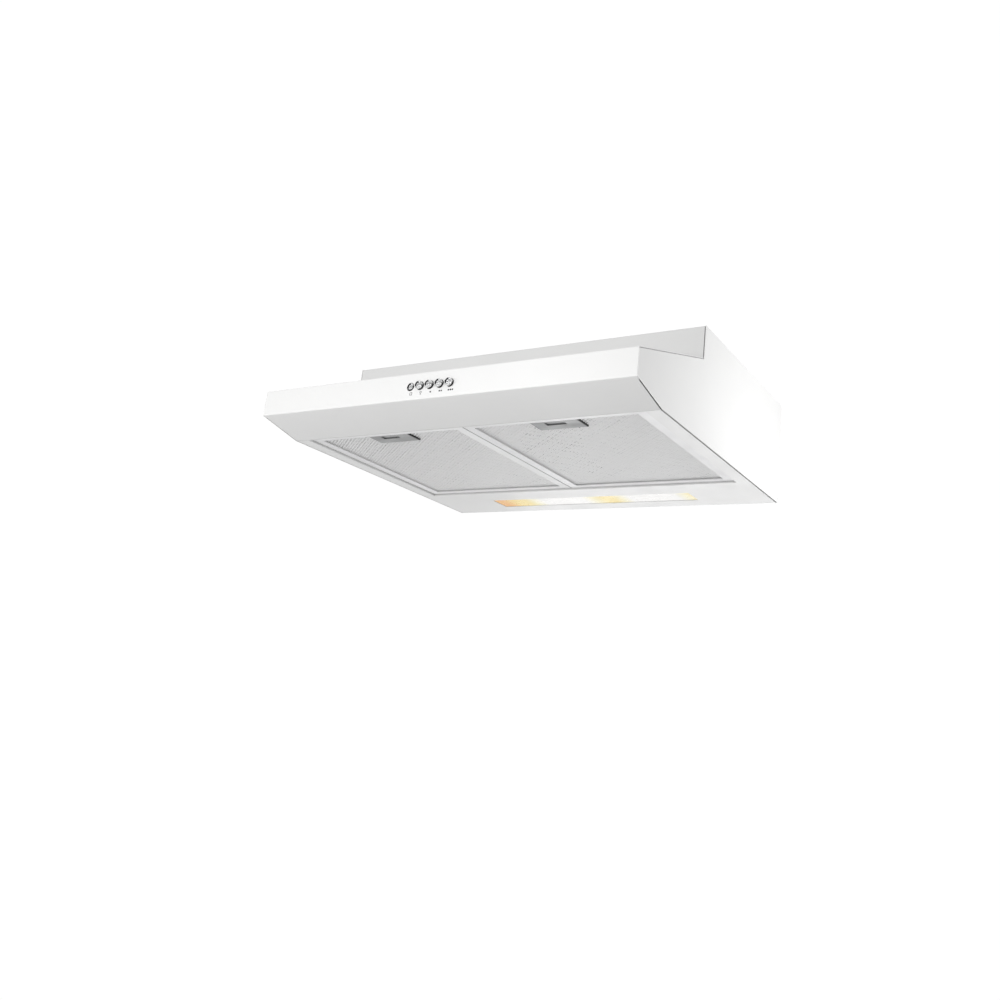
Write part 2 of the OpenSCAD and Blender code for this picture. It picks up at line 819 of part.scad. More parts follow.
// The clear cover, a shallow tray with a turned-up rim and a hinge peg at each end
module lamp_lens() {
    half = lens_w / 2;
    peg_l = tray_w / 2 - half - 0.2;
    color("khaki") for (s = [-1, 1]) rod_x(peg_r, s < 0 ? -half - peg_l : half, peg_l,
        hinge_y, hinge_z);
    color("khaki") difference() {
        block(-half, half, lens_front, lens_front + lens_d, lens_z, lens_z + lens_rim);
        block(-half + lens_t, half - lens_t, lens_front + lens_t,
            lens_front + lens_d - lens_t, lens_z + lens_t, lens_z + lens_rim + 1);
    }
}

// -------------------------------------------------------------- fasteners

module collar_screws() {
    color("silver") collar_screw_places() translate([0, 0, 2]) mirror([0, 0, 1])
        screw_up(3.4, screw_r, 6);
}

module motor_screws() {
    color("silver") bush_places() translate([motor_x, 0, 0]) rotate([0, -90, 0])
        screw_up(3.4, screw_r, motor_x - scroll_x + scroll_wall);
}

// Rivets that hold the bottom panel's side flanges to the side panels
module seam_rivets() {
    l = side_gap + sheet;
    color("silver") for (s = [-1, 1], y = rivet_places)
        translate([s * inner_w / 2, y, rivet_z]) rotate([0, -s * 90, 0]) rotate_extrude()
            polygon([[0, 0], [rivet_r, 0], [rivet_r, l], [2 * rivet_r, l],
                [1.6 * rivet_r, l + 0.9], [0, l + 1.3]]);
}

module switch_cable() {
    color("gray") cable(switch_route, cable_r);
}

module motor_cable() {
    color("gray") cable(motor_route, cable_r);
}

module lamp_cable() {
    color("gray") cable(lamp_route, cable_r);
}

// ---------------------------------------------------------------- filters

// Moves a filter drawn about x = 0 to its side: -1 is the left one
module on_side(side) {
    translate([side * filter_x, 0, 0]) children();
}

module filter_outline(inset, r) {
    half = filter_w / 2;
    rounded_rect(-half + inset, half - inset, filter_front + inset,
        filter_front + filter_d - inset, r);
}

// The opening in the frame that shows the mesh
module filter_window() {
    half = filter_w / 2 - side_rim;
    rounded_rect(-half, half, filter_front + rim_w, filter_front + filter_d - rim_w, 1);
}

module slab(z, h) {
    translate([0, 0, z]) linear_extrude(h) children();
}

// The C-section aluminium frame, with two tabs at the rear
module filter_frame(side) {
    top = filter_z + filter_t;
    color("silver") on_side(side) difference() {
        union() {
            slab(filter_z, filter_t) filter_outline(0, corner_r);
            for (t = [-1, 1]) block(t * tab_x - tab_w / 2, t * tab_x + tab_w / 2,
                filter_front + filter_d - 2, filter_front + filter_d + tab_l,
                tab_z, tab_z + tab_t);
        }
        slab(filter_z - 1, filter_t + 2) filter_window();
        slab(face_z, top - lip_t - face_z) filter_outline(lip_t, corner_r - lip_t);
        block(-tongue_w / 2 - 0.5, tongue_w / 2 + 0.5, filter_front - 1, filter_front + rim_w,
            slider_z - 0.3, slider_z + slider_t + 0.3);
    }
}

// One layer of the filter pack, cut away around the latch
module filter_layer(side, z, t, cut) {
    on_side(side) slab(z, t) difference() {
        filter_outline(lip_t + 0.2, corner_r - 1);
        translate([plate_x - plate_w / 2 - cut, filter_front - 1]) square([plate_w + 2 * cut,
            plate_y - filter_front + 1 + plate_d + cut]);
    }
}

module filter_face(side) {
    color("gainsboro") filter_layer(side, face_z, face_t, 0.2);
}

module filter_core(side) {
    color("darkgray") filter_layer(side, core_z, core_t, 0.2);
}

module filter_back(side) {
    color("gainsboro") filter_layer(side, back_z, back_t, 0.2);
}

// The latch's case, with a finger pocket and room for the slider
module latch_plate(side) {
    half = plate_w / 2;
    color("gray") on_side(side) difference() {
        block(plate_x - half, plate_x + half, plate_y, plate_y + plate_d,
            filter_z, filter_z + plate_t);
        block(-pocket_w / 2, pocket_w / 2, pocket_y, pocket_y + pocket_d, filter_z - 1, slider_z);
        block(-slider_w / 2 - 0.3, slider_w / 2 + 0.3, plate_y - 1,
            plate_y + slider_d + latch_travel + 0.5, slider_z - 0.3, slider_z + slider_t + 0.3);
    }
}

// The latch bolt: a plate with a finger ridge in the pocket and a tongue in front
module latch_slider(side) {
    z1 = slider_z + slider_t;
    ridge_y = pocket_y + 1;
    color("gainsboro") on_side(side) {
        block(-slider_w / 2, slider_w / 2, plate_y + 0.3, plate_y + slider_d, slider_z, z1);
        block(-tongue_w / 2, tongue_w / 2, tongue_tip, plate_y + 1, slider_z, z1);
        block(-pocket_w / 2 + 2, pocket_w / 2 - 2, ridge_y, ridge_y + 1.4, filter_z + 1.2, z1);
    }
}

// A coil between the slider and the back of its case
module latch_spring(side) {
    y0 = plate_y + slider_d;
    l = latch_travel + 0.5;
    per_turn = 10;
    count = spring_turns * per_turn;
    route = [for (i = [0 : count]) let (a = 360 * i / per_turn)
        [0.65 * spring_r * cos(a), y0 + spring_wire + (l - 2 * spring_wire) * i / count,
            slider_z + slider_t / 2 + 0.65 * spring_r * sin(a) * 0.7]];
    color("silver") on_side(side) cable(route, spring_wire / 2, 6);
}

module filter_frame_left() { filter_frame(-1); }
module filter_face_left() { filter_face(-1); }
module filter_core_left() { filter_core(-1); }
module filter_back_left() { filter_back(-1); }
module latch_plate_left() { latch_plate(-1); }
module latch_slider_left() { latch_slider(-1); }
module latch_spring_left() { latch_spring(-1); }
module filter_frame_right() { filter_frame(1); }
module filter_face_right() { filter_face(1); }
module filter_core_right() { filter_core(1); }
module filter_back_right() { filter_back(1); }
module latch_plate_right() { latch_plate(1); }
module latch_slider_right() { latch_slider(1); }
module latch_spring_right() { latch_spring(1); }

// ------------------------------------------------------------------ nodes

in_frame() {
    side_panel_left();
    side_panel_right();
    top_cover();
    back_panel();
    front_visor();
    bottom_panel();
    duct_collar();
    flap_pin();
    flap_front();
    flap_rear();
    scroll_left();
    scroll_right();
    inlet_ring();
    impeller();
    motor_shaft();
    motor_housing();
    motor_end_cap();
    motor_bracket();
    motor_bushes();
    capacitor();
    capacitor_clip();
    terminal_box();
    terminal_lid();
    terminal_block();
    cable_grommet();
    switch_body();
    switch_bracket();
    button_1();
    button_2();
    button_3();
    button_4();
    button_5();
    lamp_tray();
    lamp_holder_left();
    lamp_holder_right();
    lamp_bulb_left();
    lamp_bulb_right();
    lamp_lens();
    collar_screws();
    motor_screws();
    seam_rivets();
    switch_cable();
    motor_cable();
    lamp_cable();
    filter_frame_left();
    filter_face_left();
    filter_core_left();
    filter_back_left();
    latch_plate_left();
    latch_slider_left();
    latch_spring_left();
    filter_frame_right();
    filter_face_right();
    filter_core_right();
    filter_back_right();
    latch_plate_right();
    latch_slider_right();
    latch_spring_right();
}
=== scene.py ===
# Looks of an under cabinet range hood: materials, filter meshes, lamps, symbols, lights, camera

import math

import bpy
import bmesh
from mathutils import Matrix, Vector


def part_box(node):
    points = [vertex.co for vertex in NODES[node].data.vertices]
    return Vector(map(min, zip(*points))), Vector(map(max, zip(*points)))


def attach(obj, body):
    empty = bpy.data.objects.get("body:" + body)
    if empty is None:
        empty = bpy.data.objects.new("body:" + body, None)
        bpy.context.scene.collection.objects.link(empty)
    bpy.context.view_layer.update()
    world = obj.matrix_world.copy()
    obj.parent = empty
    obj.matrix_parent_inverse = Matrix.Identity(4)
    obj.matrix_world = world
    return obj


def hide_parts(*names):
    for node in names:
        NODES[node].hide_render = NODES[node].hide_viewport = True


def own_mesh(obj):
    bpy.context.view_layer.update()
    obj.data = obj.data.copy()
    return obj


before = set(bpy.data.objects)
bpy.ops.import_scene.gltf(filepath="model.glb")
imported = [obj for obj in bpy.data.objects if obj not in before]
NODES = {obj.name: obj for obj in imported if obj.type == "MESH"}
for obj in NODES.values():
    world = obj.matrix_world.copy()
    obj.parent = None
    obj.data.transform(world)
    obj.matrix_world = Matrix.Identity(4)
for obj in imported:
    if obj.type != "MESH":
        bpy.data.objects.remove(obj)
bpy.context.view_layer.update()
MM = 0.001
SIDES = ("left", "right")


# ------------------------------------------------------------------ camera

CAMERA_PLACE = (0.7867, -1.3086, -0.5626)
LOOK_AZIMUTH = math.radians(-32.35)
LOOK_ELEVATION = math.radians(16.51)
CAMERA_ROLL = math.radians(6.28)
CAMERA_LENS = 36.2
CAMERA_SHIFT = (-0.04, -0.05)


def make_camera():
    """The camera stands low in front of the hood, to its right, and looks up at its underside."""
    data = bpy.data.cameras.new("camera")
    data.sensor_width = 36
    data.lens = CAMERA_LENS
    data.shift_x, data.shift_y = CAMERA_SHIFT
    data.clip_start = 0.01
    camera = bpy.data.objects.new("camera", data)
    bpy.context.scene.collection.objects.link(camera)
    forward = Vector((math.sin(LOOK_AZIMUTH) * math.cos(LOOK_ELEVATION),
                      math.cos(LOOK_AZIMUTH) * math.cos(LOOK_ELEVATION),
                      math.sin(LOOK_ELEVATION)))
    level_right = forward.cross(Vector((0, 0, 1))).normalized()
    level_up = level_right.cross(forward)
    right = level_right * math.cos(CAMERA_ROLL) + level_up * math.sin(CAMERA_ROLL)
    up = right.cross(forward)
    turn = Matrix((right, up, -forward)).transposed()
    camera.matrix_world = Matrix.Translation(CAMERA_PLACE) @ turn.to_4x4()
    bpy.context.scene.camera = camera


# --------------------------------------------------------------- materials

def new_material(name):
    """A material, its node tree and its shader."""
    mat = bpy.data.materials.new(name)
    mat.use_nodes = True
    shader = mat.node_tree.nodes["Principled BSDF"]
    return mat, mat.node_tree, shader


def add(tree, kind, **values):
    """A node of that kind. A value sets the input of its name, or else the node's own setting."""
    node = tree.nodes.new("ShaderNode" + kind)
    for key, value in values.items():
        socket = key.replace("_", " ")
        if socket in node.inputs:
            node.inputs[socket].default_value = value
        else:
            setattr(node, key, value)
    return node


def place(tree, scale=(1, 1, 1)):
    """Object coordinates, stretched by scale."""
    coordinates = add(tree, "TexCoord")
    mapping = add(tree, "Mapping", Scale=scale)
    tree.links.new(coordinates.outputs["Object"], mapping.inputs["Vector"])
    return mapping.outputs["Vector"]


def noise(tree, scale, detail=2.0, stretch=(1, 1, 1)):
    """Soft noise in object coordinates, as a factor about 0.5."""
    node = add(tree, "TexNoise", Scale=scale, Detail=detail)
    tree.links.new(place(tree, stretch), node.inputs["Vector"])
    return node.outputs["Fac"]


def ramp(tree, factor, low, high, start=0.3, end=0.7):
    """Turns a factor into a colour between low and high."""
    node = add(tree, "ValToRGB")
    node.color_ramp.elements[0].position = start
    node.color_ramp.elements[1].position = end
    node.color_ramp.elements[0].color = (*low, 1)
    node.color_ramp.elements[1].color = (*high, 1)
    tree.links.new(factor, node.inputs["Fac"])
    return node.outputs["Color"]


def span(tree, factor, low, high):
    """Maps a factor from 0.3 to 0.7 onto low to high."""
    node = add(tree, "MapRange", From_Min=0.3, From_Max=0.7, To_Min=low, To_Max=high)
    tree.links.new(factor, node.inputs["Value"])
    return node.outputs["Result"]


def bump(tree, shader, height, strength, depth):
    """Adds a bump of that depth, in metres, over any bump that the shader has."""
    node = add(tree, "Bump", Strength=strength, Distance=depth)
    tree.links.new(height, node.inputs["Height"])
    if shader.inputs["Normal"].is_linked:
        before = shader.inputs["Normal"].links[0].from_socket
        tree.links.new(before, node.inputs["Normal"])
    tree.links.new(node.outputs["Normal"], shader.inputs["Normal"])


def painted_seam_shade(tree, colour, depth, darkest):
    """Darkens a colour in the seams and inner corners within depth: painted shade, from ambient
    occlusion.
    """
    occlusion = add(tree, "AmbientOcclusion", samples=8, Distance=depth)
    shade = ramp(tree, occlusion.outputs["AO"], (darkest,) * 3, (1, 1, 1), 0.2, 0.75)
    mix = add(tree, "Mix", data_type="RGBA", blend_type="MULTIPLY")
    mix.inputs["Factor"].default_value = 1
    tree.links.new(colour, mix.inputs["A"])
    tree.links.new(shade, mix.inputs["B"])
    return mix.outputs["Result"]


def surface(name, low, high, rough, metal=0.0, patch=8.0, grain=900.0, grain_depth=0.00004,
            grain_strength=0.25, stretch=(1, 1, 1), seam=0.0, seam_shade=0.55, coat=0.0,
            anisotropic=0.0, specular=0.5):
    """A finish with two close colours in soft patches, uneven roughness and a fine grain."""
    mat, tree, shader = new_material(name)
    shader.inputs["Metallic"].default_value = metal
    shader.inputs["Coat Weight"].default_value = coat
    shader.inputs["Coat Roughness"].default_value = 0.15
    shader.inputs["Anisotropic"].default_value = anisotropic
    shader.inputs["Specular IOR Level"].default_value = specular
    colour = ramp(tree, noise(tree, patch, 4), low, high)
    # Painted shade in seams and inner corners, seam deep, down to seam_shade
    if seam:
        colour = painted_seam_shade(tree, colour, seam, seam_shade)
    tree.links.new(colour, shader.inputs["Base Color"])
    smears = noise(tree, patch * 5, 5, stretch)
    tree.links.new(span(tree, smears, rough[0], rough[1]), shader.inputs["Roughness"])
    bump(tree, shader, noise(tree, grain, 3, stretch), grain_strength, grain_depth)
    return mat


def grey(level):
    return (level, level, level)


def combine(tree, operation, a, b):
    """The result of a maths operation on two factors."""
    node = add(tree, "Math", operation=operation)
    tree.links.new(a, node.inputs[0])
    tree.links.new(b, node.inputs[1])
    return node.outputs["Value"]


def vector_step(tree, operation, source, second=None):
    """A vector maths node on source, with a constant second vector if the operation needs one."""
    node = add(tree, "VectorMath", operation=operation)
    if second:
        node.inputs[1].default_value = second
    tree.links.new(source, node.inputs[0])
    return node


# Ways of the two wedges of painted shade and dark reflection on a button's rim, and their colour
UPPER_WEDGE = (-0.82, 0, 0.57)
LOWER_WEDGE = (0.45, 0, -0.89)
CHROME_PAINTED_SHADE = (0.035, 0.035, 0.038)


def chrome_with_painted_shade(name, low_rim):
    """Chrome whose rim is painted dark in two opposite wedges: painted shade and dark reflection.

    The upper wedge lies on the button's face, at its left. The lower one lies on its wall, near
    the panel, or on the face of a button that is held in."""
    mat, tree, shader = new_material(name)
    shader.inputs["Metallic"].default_value = 0.9
    coordinates = add(tree, "TexCoord").outputs["Generated"]
    centred = vector_step(tree, "SUBTRACT", coordinates, (0.5, 0, 0.5)).outputs["Vector"]
    across = vector_step(tree, "MULTIPLY", centred, (2, 0, 2)).outputs["Vector"]
    reach = vector_step(tree, "LENGTH", across).outputs["Value"]
    heading = vector_step(tree, "NORMALIZE", across).outputs["Vector"]
    toward_upper = vector_step(tree, "DOT_PRODUCT", heading, UPPER_WEDGE).outputs["Value"]
    toward_lower = vector_step(tree, "DOT_PRODUCT", heading, LOWER_WEDGE).outputs["Value"]
    none, full = grey(0), grey(1)
    upper = combine(tree, "MULTIPLY", ramp(tree, reach, none, full, 0.5, 0.58),
                    ramp(tree, toward_upper, none, full, 0.3, 0.6))
    if low_rim:
        edge = ramp(tree, reach, none, full, 0.72, 0.78)
    else:
        depth = add(tree, "SeparateXYZ")
        tree.links.new(centred, depth.inputs["Vector"])
        edge = ramp(tree, depth.outputs["Y"], none, full, 0.07, 0.1)
    lower = combine(tree, "MULTIPLY", edge, ramp(tree, toward_lower, none, full, 0.1, 0.4))
    bright = ramp(tree, noise(tree, 150, 4), (0.72, 0.725, 0.73), (0.82, 0.825, 0.83))
    # The wedges are painted shade and dark reflection, mixed into the chrome's colour
    shade = add(tree, "Mix", data_type="RGBA")
    tree.links.new(combine(tree, "MAXIMUM", upper, lower), shade.inputs["Factor"])
    tree.links.new(bright, shade.inputs["A"])
    shade.inputs["B"].default_value = (*CHROME_PAINTED_SHADE, 1)
    # Painted shade in the button's seams and gaps, from ambient occlusion
    colour = painted_seam_shade(tree, shade.outputs["Result"], 0.002, 0.3)
    tree.links.new(colour, shader.inputs["Base Color"])
    tree.links.new(span(tree, noise(tree, 400, 4), 0.2, 0.32), shader.inputs["Roughness"])
    bump(tree, shader, noise(tree, 1500, 3), 0.15, 0.00003)
    return mat


def make_materials():
    """Every finish by its short name."""
    along_x = (0.04, 1, 1)
    # seam and seam_shade: the depth and darkest tone of painted shade in seams and inner corners
    return {
        "paint": surface("white powder coat", (0.83, 0.83, 0.825), (0.86, 0.86, 0.855),
                         (0.3, 0.4), patch=7, grain=750, grain_depth=0.00003, seam=0.006,
                         seam_shade=0.68, coat=0.15),
        "zinc": surface("zinc plated steel", (0.46, 0.47, 0.49), (0.62, 0.63, 0.64), (0.3, 0.5),
                        metal=1, patch=120, grain=600, seam=0.004),
        "steel": surface("drawn steel", (0.5, 0.5, 0.51), (0.66, 0.66, 0.67), (0.22, 0.38),
                         metal=1, patch=60, stretch=along_x),
        "black_plastic": surface("grained black plastic", grey(0.012), grey(0.022), (0.42, 0.6),
                                 patch=40, grain=2200, grain_depth=0.00006, grain_strength=0.5),
        "grey_plastic": surface("grained grey plastic", grey(0.06), grey(0.09), (0.4, 0.58),
                                patch=40, grain=2200, grain_depth=0.00006, grain_strength=0.5),
        "pale_plastic": surface("moulded pale plastic", (0.6, 0.6, 0.58), (0.68, 0.68, 0.66),
                                (0.35, 0.5), patch=30, grain=1500, seam=0.004),
        "white_plastic": surface("moulded white plastic", (0.74, 0.74, 0.71), (0.8, 0.8, 0.78),
                                 (0.3, 0.42), patch=30, grain=1500, seam=0.004),
        "ivory_plastic": surface("moulded ivory plastic", (0.7, 0.65, 0.52), (0.77, 0.72, 0.6),
                                 (0.3, 0.42), patch=40, grain=1500, seam=0.003),
        "ceramic": surface("glazed ceramic", (0.72, 0.7, 0.64), (0.8, 0.78, 0.72), (0.12, 0.22),
                           patch=50, grain=500, coat=0.5, seam=0.004),
        "rubber": surface("black rubber", grey(0.018), grey(0.03), (0.6, 0.8), patch=80,
                          grain=1800, grain_strength=0.5, specular=0.3),
        "sheath": surface("grey cable sheath", grey(0.2), grey(0.26), (0.42, 0.6), patch=60,
                          grain=1400, grain_strength=0.4),
        "frame_aluminium": surface("rolled aluminium", (0.89, 0.89, 0.895), (0.95, 0.95, 0.955),
                                   (0.42, 0.58), metal=0.35, patch=30, grain=420,
                                   stretch=along_x, anisotropic=0.3, seam=0.003, seam_shade=0.5),
        "mesh_aluminium": surface("expanded aluminium", grey(0.95), grey(0.98),
                                  (0.36, 0.5), metal=0.6, patch=160, grain=1500),
        "latch": surface("brushed latch steel", (0.3, 0.303, 0.306), (0.36, 0.363, 0.366),
                         (0.36, 0.48), metal=0.55, patch=50, grain=900, stretch=along_x,
                         anisotropic=0.4, seam=0.003, seam_shade=0.1),
        "bolt": surface("plated latch bolt", (0.56, 0.565, 0.57), (0.64, 0.645, 0.65),
                        (0.34, 0.46), metal=0.4, patch=60, grain=900, seam=0.002),
        "button": chrome_with_painted_shade("chrome with painted shade", False),
        "held_button": chrome_with_painted_shade("chrome with painted shade, held in", True),
        "ink": surface("printed ink", grey(0.01), grey(0.02), (0.6, 0.75), patch=300,
                       grain=2500, specular=0.2),
        "pale_ink": surface("pale printed ink", grey(0.26), grey(0.32), (0.5, 0.65), patch=300,
                            grain=2500),
        "cap": surface("nickel plated brass", (0.62, 0.6, 0.55), (0.74, 0.72, 0.66), (0.2, 0.35),
                       metal=1, patch=120),
    }


LOOKS = {
    "paint": ["side_panel_left", "side_panel_right", "top_cover", "back_panel", "front_visor",
              "bottom_panel"],
    "zinc": ["lamp_tray", "motor_bracket", "capacitor_clip", "switch_bracket", "motor_housing",
             "motor_end_cap"],
    "steel": ["flap_pin", "motor_shaft", "collar_screws", "motor_screws", "seam_rivets"],
    "black_plastic": ["duct_collar", "scroll_left", "scroll_right", "inlet_ring"],
    "grey_plastic": ["flap_front", "flap_rear"],
    "pale_plastic": ["impeller", "capacitor"],
    "white_plastic": ["terminal_box", "terminal_lid", "switch_body"],
    "ivory_plastic": ["terminal_block"],
    "ceramic": ["lamp_holder_left", "lamp_holder_right"],
    "rubber": ["motor_bushes", "cable_grommet"],
    "sheath": ["switch_cable", "motor_cable", "lamp_cable"],
    "frame_aluminium": ["filter_frame_left", "filter_frame_right"],
    "latch": ["latch_plate_left", "latch_plate_right"],
    "bolt": ["latch_slider_left", "latch_slider_right"],
    "held_button": ["button_1"],
    "button": ["button_2", "button_3", "button_4", "button_5"],
}
EDGES = {
    "paint": 0.5, "frame_aluminium": 0.3, "latch": 0.25, "bolt": 0.15, "zinc": 0.2,
    "black_plastic": 0.3, "white_plastic": 0.4, "ivory_plastic": 0.3, "ceramic": 0.5,
    "button": 0.3, "held_button": 0.3,
}


def round_edges(node, width):
    """Joins the node's flat faces and rounds its sharp edges by width, in millimetres."""
    weld = node.modifiers.new("weld", "WELD")
    weld.merge_threshold = 0.00001
    flats = node.modifiers.new("flats", "DECIMATE")
    flats.decimate_type = "DISSOLVE"
    flats.angle_limit = math.radians(0.5)
    bevel = node.modifiers.new("bevel", "BEVEL")
    bevel.width = width * MM
    bevel.segments = 2
    bevel.limit_method = "ANGLE"
    bevel.angle_limit = math.radians(35)
    bevel.use_clamp_overlap = True


def dress_nodes(materials):
    """Gives each carried-over node its finish and rounded edges."""
    for look, names in LOOKS.items():
        for name in names:
            node = NODES[name]
            node.data.materials.clear()
            node.data.materials.append(materials[look])
            if look in EDGES:
                round_edges(node, EDGES[look])


# ------------------------------------------------------------------ pieces

def mesh_piece(name, points, faces, material, body, smooth=False):
    """A piece from points and faces, which rides on a body."""
    data = bpy.data.meshes.new(name)
    data.from_pydata(points, [], faces)
    data.validate()
    data.materials.append(material)
    data.polygons.foreach_set("use_smooth", [smooth] * len(data.polygons))
    piece = bpy.data.objects.new(name, data)
    bpy.context.scene.collection.objects.link(piece)
    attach(piece, body)
    return piece


def expanded_layer(low, high, level, long_way, short_way, width, thick, tilt, shift, inside):
    """Points and faces of one layer of expanded metal: zigzag strands that meet at their knuckles.

    The strands run along y and lie side by side along x. Each has a flat cross-section, turned by
    tilt. inside(x, y) says where there is metal."""
    points, faces = [], []
    rise = Vector((math.cos(tilt), 0, math.sin(tilt)))
    lift = Vector((-math.sin(tilt), 0, math.cos(tilt)))
    section = [a * rise * width / 2 + b * lift * thick / 2
               for a, b in ((-1, -1), (1, -1), (1, 1), (-1, 1))]
    half = long_way / 2
    steps = int((high[1] - low[1]) / half)
    columns = int((high[0] - low[0]) / short_way)
    reach = short_way / 2 - width * 0.32
    for column in range(columns + 1):
        middle = low[0] + column * short_way + shift
        run = []
        for step in range(steps + 1):
            y = low[1] + step * half
            x = middle + reach * (1 if (step + column) % 2 else -1)
            if low[0] <= x <= high[0] and inside(x, y):
                run.append((x, y))
            else:
                add_strand(run, section, level, points, faces)
                run = []
        add_strand(run, section, level, points, faces)
    return points, faces


def add_strand(run, section, level, points, faces):
    """Adds one closed strand that follows the run's points."""
    if len(run) < 2:
        return
    first = len(points)
    for x, y in run:
        points.extend((x + corner.x, y, level + corner.z) for corner in section)
    for i in range(len(run) - 1):
        a = first + 4 * i
        for k in range(4):
            n = (k + 1) % 4
            faces.append((a + k, a + n, a + 4 + n, a + 4 + k))
    faces.append((first, first + 3, first + 2, first + 1))
    last = first + 4 * (len(run) - 1)
    faces.append((last, last + 1, last + 2, last + 3))


def filter_metal(side, node, layers, piece_name, material):
    """Expanded metal in the place of one of a filter's layers. It leaves room for the latch."""
    low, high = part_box(f"{node}_{side}")
    latch_low, latch_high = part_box(f"latch_plate_{side}")
    room = 1.6 * MM

    def inside(x, y):
        beside = x < latch_low.x - room or x > latch_high.x + room
        return beside or y > latch_high.y + room

    points, faces = [], []
    for height, long_way, short_way, width, thick, tilt, shift in layers:
        level = low.z + (high.z - low.z) * height
        p, f = expanded_layer(low, high, level, long_way * MM, short_way * MM, width * MM,
                              thick * MM, math.radians(tilt), shift * MM, inside)
        base = len(points)
        points += p
        faces += [tuple(base + i for i in face) for face in f]
    piece = mesh_piece(f"{piece_name}_{side}", points, faces, material, f"filter_{side}")
    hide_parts(f"{node}_{side}")


# Each layer: height as a share of the node's, long and short way of the mesh, strand width and
# thickness in millimetres, tilt in degrees, and shift in millimetres
MESH_LAYERS = {
    "face": [(0.5, 5.4, 3.4, 1.62, 0.25, 8, 0.5)],
    "core": [(0.15, 7.4, 4.4, 2.0, 0.2, -10, 1.4), (0.5, 7.1, 4.7, 2.0, 0.2, 12, 2.4),
             (0.85, 8.0, 4.9, 2.0, 0.2, -12, 0.9)],
    "back": [(0.5, 6.4, 3.9, 1.75, 0.25, -10, 0.9)],
}


def make_filters(materials):
    for side in SIDES:
        for part, layers in MESH_LAYERS.items():
            filter_metal(side, f"filter_{part}", layers, f"{part}_mesh",
                         materials["mesh_aluminium"])
        # A black strip round each latch plate is painted shade where its side walls stand in
        # shadow
        latch_painted_shade(side, materials["black_plastic"])
        latch_coil(side, materials["steel"])


def latch_painted_shade(side, material):
    """A thin black strip round the three open sides of a latch plate, between it and the mesh:
    painted shade.
    """
    low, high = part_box(f"latch_plate_{side}")
    inner, outer = 0.15 * MM, 1.35 * MM
    base, top = low.z + 0.5 * MM, low.z + 5 * MM
    front, rear = low.y + 0.4 * MM, high.y
    path = [(low.x, front), (low.x, rear), (high.x, rear), (high.x, front)]
    ways = [(-1, 0), (-1, 1), (1, 1), (1, 0)]
    points, faces = [], []
    for (x, y), (dx, dy) in zip(path, ways):
        for gap, z in ((inner, base), (outer, base), (outer, top), (inner, top)):
            points.append((x + dx * gap, y + dy * gap, z))
    for i in range(3):
        for k in range(4):
            n = (k + 1) % 4
            faces.append((4 * i + k, 4 * i + n, 4 * i + 4 + n, 4 * i + 4 + k))
    faces += [(0, 3, 2, 1), (12, 13, 14, 15)]
    piece = mesh_piece(f"latch_painted_shade_{side}", points, faces, material, f"filter_{side}")
    bevel = piece.modifiers.new("bevel", "BEVEL")
    bevel.width = 0.3 * MM
    bevel.segments = 2


SPRING_WIRE = 0.4 * MM
SPRING_TURNS = 5


def latch_coil(side, material):
    """A latch's coil spring, which the slider presses together against its rear end."""
    node = f"latch_spring_{side}"
    low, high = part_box(node)
    middle = (low + high) / 2
    thick = SPRING_WIRE / 2
    reach = (high - low) / 2 - Vector((thick, thick, thick))
    per_turn, corners = 24, 8
    count = SPRING_TURNS * per_turn
    points, faces = [], []
    for i in range(count + 1):
        turn = 2 * math.pi * i / per_turn
        out = Vector((math.cos(turn), 0, math.sin(turn)))
        spot = middle + Vector((reach.x * out.x, reach.y * (2 * i / count - 1), reach.z * out.z))
        for k in range(corners):
            a = 2 * math.pi * k / corners
            points.append(spot + thick * (math.cos(a) * out + Vector((0, math.sin(a), 0))))
    for i in range(count):
        for k in range(corners):
            n = (k + 1) % corners
            a = corners * i
            faces.append((a + k, a + n, a + corners + n, a + corners + k))
    last = corners * count
    faces += [tuple(reversed(range(corners))), tuple(range(last, last + corners))]
    coil = mesh_piece(f"latch_coil_{side}", points, faces, material, f"filter_{side}",
                      smooth=True)
    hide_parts(node)
    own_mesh(coil)


def revolved(name, profile, material, body, matrix, sides=48):
    """A smooth solid of revolution about its own z, from (radius, height) points."""
    points, faces = [], []
    for radius, height in profile:
        for i in range(sides):
            a = 2 * math.pi * i / sides
            points.append(matrix @ Vector((radius * math.cos(a), radius * math.sin(a), height)))
    for row in range(len(profile) - 1):
        for i in range(sides):
            n = (i + 1) % sides
            a, b = row * sides, (row + 1) * sides
            faces.append((a + i, a + n, b + n, b + i))
    faces.append(tuple(reversed(range(sides))))
    last = (len(profile) - 1) * sides
    faces.append(tuple(range(last, last + sides)))
    return mesh_piece(name, points, faces, material, body, smooth=True)


def bulb_glass():
    """Frosted glass that glows warm, in soft patches of colour."""
    mat, tree, shader = new_material("frosted lit glass")
    shader.inputs["Base Color"].default_value = (0.9, 0.86, 0.78, 1)
    shader.inputs["Emission Strength"].default_value = 1.6
    shader.inputs["IOR"].default_value = 1.5
    warm = ramp(tree, noise(tree, 45, 2), (1.0, 0.62, 0.25), (1.0, 0.8, 0.5))
    tree.links.new(warm, shader.inputs["Emission Color"])
    tree.links.new(span(tree, noise(tree, 300, 3), 0.25, 0.4), shader.inputs["Roughness"])
    bump(tree, shader, noise(tree, 1600, 2), 0.2, 0.00003)
    return mat


BULB_CAP = 20 * MM
BULB_NECK = 7.2 * MM
BULB_STEPS = 32
THREAD_TURNS = 5
THREAD_STEPS = 60


